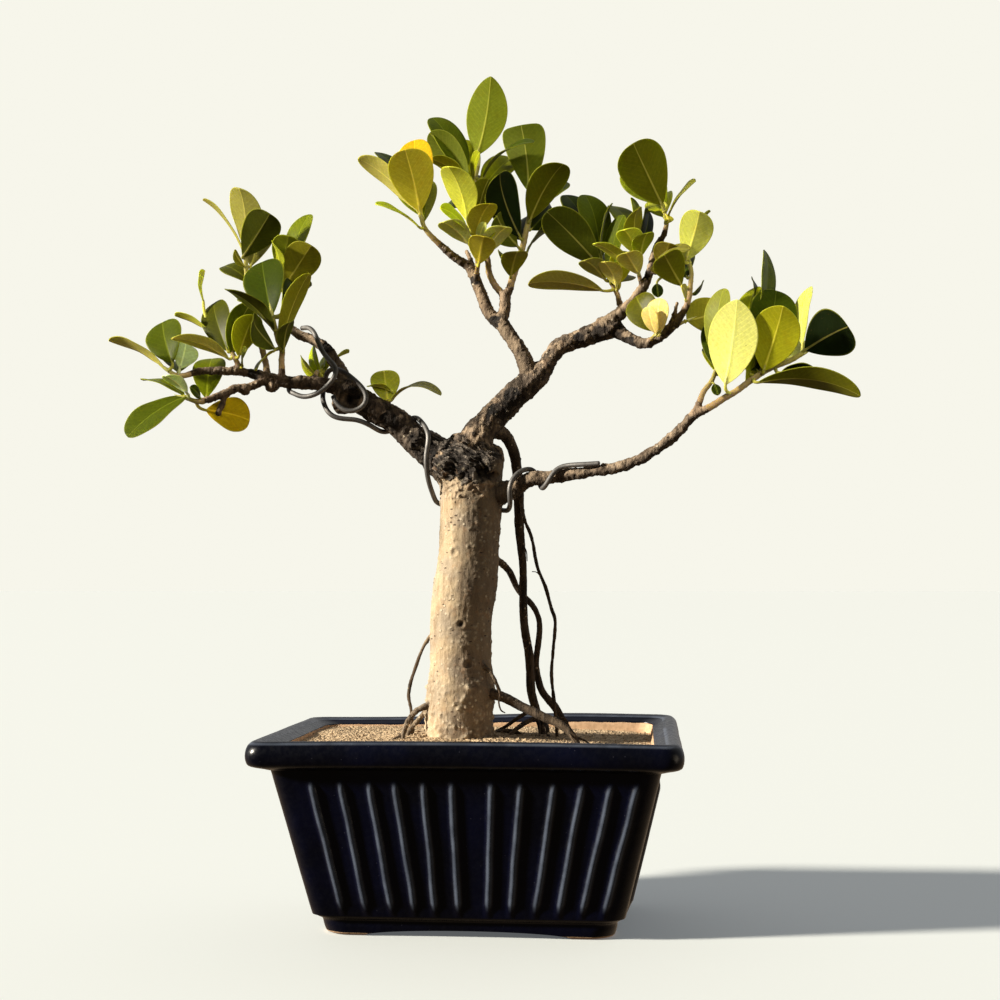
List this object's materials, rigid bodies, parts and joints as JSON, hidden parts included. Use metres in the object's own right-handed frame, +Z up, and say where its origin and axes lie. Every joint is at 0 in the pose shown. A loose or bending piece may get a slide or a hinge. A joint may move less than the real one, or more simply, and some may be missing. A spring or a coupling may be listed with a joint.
{
  "type": "bonsai tree in a pot",
  "caption": "Small fig bonsai with a bare upright trunk, wired branches, aerial roots and leathery leaves, in a ribbed rectangular glazed pot with sandy soil.",
  "frame": {"origin": "middle of the whole plant's width and depth, on the surface the pot stands on", "axes": "+Z up, +X to the right as seen from the front, +Y to the back"},
  "size_m": [0.3674, 0.15, 0.4351],
  "materials": {
    "navy_glaze": "gloss",
    "sandy_soil": "matte",
    "tan_bark": "matte",
    "leaf_green": "satin",
    "aluminium_wire": "satin",
    "black_mesh": "matte"
  },
  "bodies": {
    "root": {"drain_screen_left": "black_mesh", "drain_screen_right": "black_mesh", "pot": "navy_glaze", "shoot_fork_back": "leaf_green", "shoot_high_tip": "leaf_green", "shoot_left_back": "leaf_green", "shoot_left_front": "leaf_green", "shoot_left_high": "leaf_green", "shoot_left_low": "leaf_green", "shoot_left_tip": "leaf_green", "shoot_left_top": "leaf_green", "shoot_left_upright": "leaf_green", "shoot_low_back": "leaf_green", "shoot_low_right": "leaf_green", "shoot_low_tip": "leaf_green", "shoot_mid_front": "leaf_green", "shoot_mid_left": "leaf_green", "shoot_mid_right": "leaf_green", "shoot_right_tip": "leaf_green", "shoot_right_upright": "leaf_green", "shoot_top_back": "leaf_green", "shoot_top_front": "leaf_green", "shoot_top_left": "leaf_green", "shoot_top_right": "leaf_green", "soil": "sandy_soil", "tree": "tan_bark", "wire_fork": "aluminium_wire", "wire_main": "aluminium_wire"}
  },
  "joints": []
}
